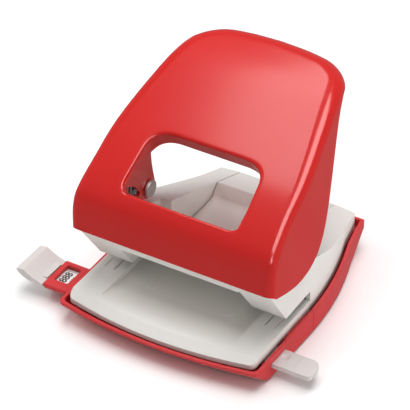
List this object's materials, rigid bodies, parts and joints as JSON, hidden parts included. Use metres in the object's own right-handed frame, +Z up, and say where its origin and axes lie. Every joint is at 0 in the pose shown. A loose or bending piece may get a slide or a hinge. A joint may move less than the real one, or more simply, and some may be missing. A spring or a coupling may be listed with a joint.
{
  "type": "two hole punch",
  "caption": "Desk paper punch with a bent steel handle that has a hand window, side punches over a paper slot, a sliding paper guide and a pull-out chip tray.",
  "frame": {"origin": "middle of the two hole centres, projected on to the table that the punch stands on", "axes": "+X to the right of the person who feeds paper in, along the line of the holes; +Y away from that person, the way the paper goes in; +Z up"},
  "size_m": [0.1524, 0.1286, 0.1105],
  "materials": {
    "red_paint": "gloss enamel on sheet steel",
    "red_plastic": "semi-gloss moulded plastic",
    "grey_plastic": "fine satin moulded plastic",
    "guide_plastic": "satin moulded plastic",
    "printed_strip": "white strip with black format numbers",
    "zinc_steel": "zinc plated sheet steel",
    "tool_steel": "ground hardened steel",
    "pin_steel": "turned steel, nickel plated",
    "spring_steel": "bright spring wire",
    "black_steel": "black oxide",
    "black_rubber": "matt black rubber"
  },
  "bodies": {
    "base": {"base_tray": "red_plastic", "deck": "grey_plastic", "housing": "grey_plastic", "centre_cover": "grey_plastic", "die_plate": "zinc_steel", "punch_frame_left": "zinc_steel", "punch_frame_right": "zinc_steel", "die_left": "tool_steel", "die_right": "tool_steel", "return_spring_left": "spring_steel", "return_spring_right": "spring_steel", "spring_seat_left": "zinc_steel", "spring_seat_right": "zinc_steel", "pivot_pin_left": "pin_steel", "pivot_pin_right": "pin_steel", "pivot_clip_left": "black_steel", "pivot_clip_right": "black_steel", "rail_spring": "spring_steel", "screw_1_left": "black_steel", "screw_1_right": "black_steel", "screw_2_left": "black_steel", "screw_2_right": "black_steel", "grip_strip": "black_rubber", "foot_1_left": "black_rubber", "foot_1_right": "black_rubber", "foot_2_left": "black_rubber", "foot_2_right": "black_rubber"},
    "handle": {"handle": "red_paint", "drive_pin_left": "pin_steel", "drive_pin_right": "pin_steel", "drive_clip_left": "black_steel", "drive_clip_right": "black_steel"},
    "punch_left": {"punch_left": "tool_steel"},
    "punch_right": {"punch_right": "tool_steel"},
    "guide": {"guide_rail": "guide_plastic", "guide_stop": "guide_plastic", "format_strip": "printed_strip"},
    "chip_drawer": {"chip_tray": "red_plastic", "tray_foot_left": "black_rubber", "tray_foot_right": "black_rubber"}
  },
  "joints": [
    {"name": "handle_press", "type": "hinge", "parent": "base", "child": "handle", "pos_m": [0, -0.0155, 0.0525], "axis": [-1, 0, 0], "range_deg": [0, 28], "stiffness_Nm_per_rad": 0.5, "springref_deg": -45.84},
    {"name": "punch_left_stroke", "type": "slide", "parent": "base", "child": "punch_left", "axis": [0, 0, -1], "range_m": [0, 0.0082], "deforming": ["return_spring_left"]},
    {"name": "punch_right_stroke", "type": "slide", "parent": "base", "child": "punch_right", "axis": [0, 0, -1], "range_m": [0, 0.0082], "deforming": ["return_spring_right"]},
    {"name": "guide_slide", "type": "slide", "parent": "base", "child": "guide", "axis": [-1, 0, 0], "range_m": [0, 0.08]},
    {"name": "chip_tray_slide", "type": "slide", "parent": "base", "child": "chip_drawer", "axis": [0, 1, 0], "range_m": [0, 0.045]}
  ],
  "couplings": [
    {"joint": "punch_left_stroke", "follows": "handle_press", "m_per_rad": 0.01631},
    {"joint": "punch_right_stroke", "follows": "handle_press", "m_per_rad": 0.01631}
  ]
}
